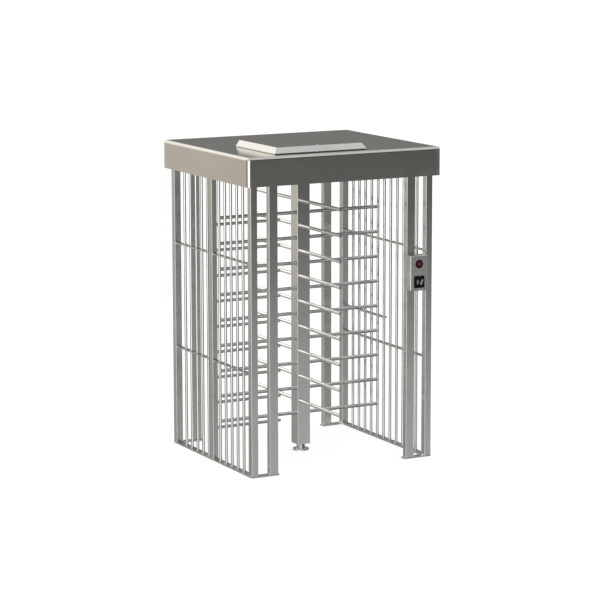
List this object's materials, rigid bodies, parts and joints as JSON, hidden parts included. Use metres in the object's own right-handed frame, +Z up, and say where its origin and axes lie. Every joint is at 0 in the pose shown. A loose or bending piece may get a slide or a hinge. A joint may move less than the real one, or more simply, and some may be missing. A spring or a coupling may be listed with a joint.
{
  "type": "full-height turnstile",
  "caption": "Full-height visitor counter turnstile: barred cage and four-wing rotor under a canopy with drive head, locking pawls, encoder and card reader",
  "frame": {"origin": "on the floor, on the rotor's axis", "axes": "+Z up along the rotor's axis, +X to the right as seen from the entry side, +Y from entry to exit"},
  "size_m": [1.5, 1.39, 2.254],
  "materials": {
    "brushed_post": "brushed along its length",
    "brushed_flat": "brushed",
    "polished_tube": "fine polished tube",
    "brushed_column": "brushed along its length",
    "brushed_sheet": "brushed sheet, near mirror",
    "brushed_box": "brushed sheet",
    "zinc_plate": "zinc plated",
    "machined_steel": "turned or milled",
    "cast_housing": "painted casting",
    "bronze": "sintered bronze",
    "black_coating": "black powder coat",
    "nylon": "moulded nylon",
    "board": "solder mask",
    "perforated_case": "stamped case",
    "dark_plastic": "moulded",
    "seal_rubber": "extruded rubber",
    "red_lens": "tinted lens",
    "reader_plastic": "moulded with fine sheen"
  },
  "bodies": {
    "cage": {"base_strip_left": "brushed_flat", "base_strip_right": "brushed_flat", "bearing_housing": "cast_housing", "cable_gland": "dark_plastic", "canopy_brackets": "zinc_plate", "canopy_shell": "brushed_sheet", "card_reader": "reader_plastic", "comb_bars": "polished_tube", "comb_post": "brushed_post", "control_board": "board", "counter_module": "dark_plastic", "electronics_tray": "zinc_plate", "encoder": "black_coating", "fixed_hinge_leaves": "zinc_plate", "foot_bush": "bronze", "foot_flange": "brushed_flat", "gear_motor": "black_coating", "hatch_seal": "seal_rubber", "indicator_lens": "red_lens", "inner_post_back_left": "brushed_post", "inner_post_back_right": "brushed_post", "inner_post_front_left": "brushed_post", "inner_post_front_right": "brushed_post", "left_rails": "brushed_flat", "left_wall_bars": "polished_tube", "lid_hinge_pins": "machined_steel", "lock_solenoids": "black_coating", "mechanism_plate": "zinc_plate", "notch_sensor": "zinc_plate", "outer_post_back_left": "brushed_post", "outer_post_back_right": "brushed_post", "outer_post_front_left": "brushed_post", "outer_post_front_right": "brushed_post", "pawl_pins": "machined_steel", "power_supply": "perforated_case", "reader_back_plate": "brushed_box", "reader_housing": "brushed_box", "right_rails": "brushed_flat", "right_wall_bars": "polished_tube", "roof_frame": "zinc_plate", "soffit_panel": "zinc_plate", "top_bearing": "machined_steel"},
    "rotor": {"rotor_column": "brushed_column", "column_end_plates": "zinc_plate", "top_shaft": "machined_steel", "foot_spindle": "machined_steel", "side_arms": "polished_tube", "lane_arms": "polished_tube", "arm_end_plugs": "polished_tube", "lock_disc": "machined_steel", "main_gear": "machined_steel"},
    "drive_pinion": {"motor_pinion": "machined_steel"},
    "count_gear": {"encoder_gear": "nylon"},
    "entry_lever": {"entry_pawl": "machined_steel"},
    "exit_lever": {"exit_pawl": "machined_steel"},
    "entry_rod": {"entry_plunger": "machined_steel"},
    "exit_rod": {"exit_plunger": "machined_steel"},
    "lid": {"roof_lid": "brushed_sheet", "lid_hinge_leaves": "zinc_plate"},
    "lock": {"lid_lock": "machined_steel"}
  },
  "joints": [
    {"name": "rotor_spin", "type": "hinge", "parent": "cage", "child": "rotor", "pos_m": [0, 0, 1], "axis": [0, 0, 1], "continuous": true},
    {"name": "pinion_spin", "type": "hinge", "parent": "cage", "child": "drive_pinion", "pos_m": [0, -0.156, 2.137], "axis": [0, 0, 1], "continuous": true},
    {"name": "encoder_spin", "type": "hinge", "parent": "cage", "child": "count_gear", "pos_m": [-0.11314, -0.11314, 2.137], "axis": [0, 0, 1], "continuous": true},
    {"name": "entry_lock", "type": "hinge", "parent": "cage", "child": "entry_lever", "pos_m": [-0.122, 0.078, 2.096], "axis": [0, 0, 1], "range_deg": [0, 14]},
    {"name": "exit_lock", "type": "hinge", "parent": "cage", "child": "exit_lever", "pos_m": [0.122, 0.078, 2.096], "axis": [0, 0, -1], "range_deg": [0, 14]},
    {"name": "entry_plunger_slide", "type": "slide", "parent": "cage", "child": "entry_rod", "axis": [1, 0, 0], "range_m": [0, 0.0197]},
    {"name": "exit_plunger_slide", "type": "slide", "parent": "cage", "child": "exit_rod", "axis": [-1, 0, 0], "range_m": [0, 0.0197]},
    {"name": "lid_hinge", "type": "hinge", "parent": "cage", "child": "lid", "pos_m": [-0.145, 0.016, 2.213], "axis": [-1, 0, 0], "range_deg": [0, 80]},
    {"name": "lid_lock_turn", "type": "hinge", "parent": "lid", "child": "lock", "pos_m": [-0.145, -0.53, 2.24], "axis": [0, 0, -1], "range_deg": [0, 90]}
  ],
  "couplings": [
    {"joint": "pinion_spin", "follows": "rotor_spin", "ratio": -3.3333},
    {"joint": "encoder_spin", "follows": "rotor_spin", "ratio": -3},
    {"joint": "entry_plunger_slide", "follows": "entry_lock", "m_per_rad": 0.080214},
    {"joint": "exit_plunger_slide", "follows": "exit_lock", "m_per_rad": 0.080214}
  ]
}
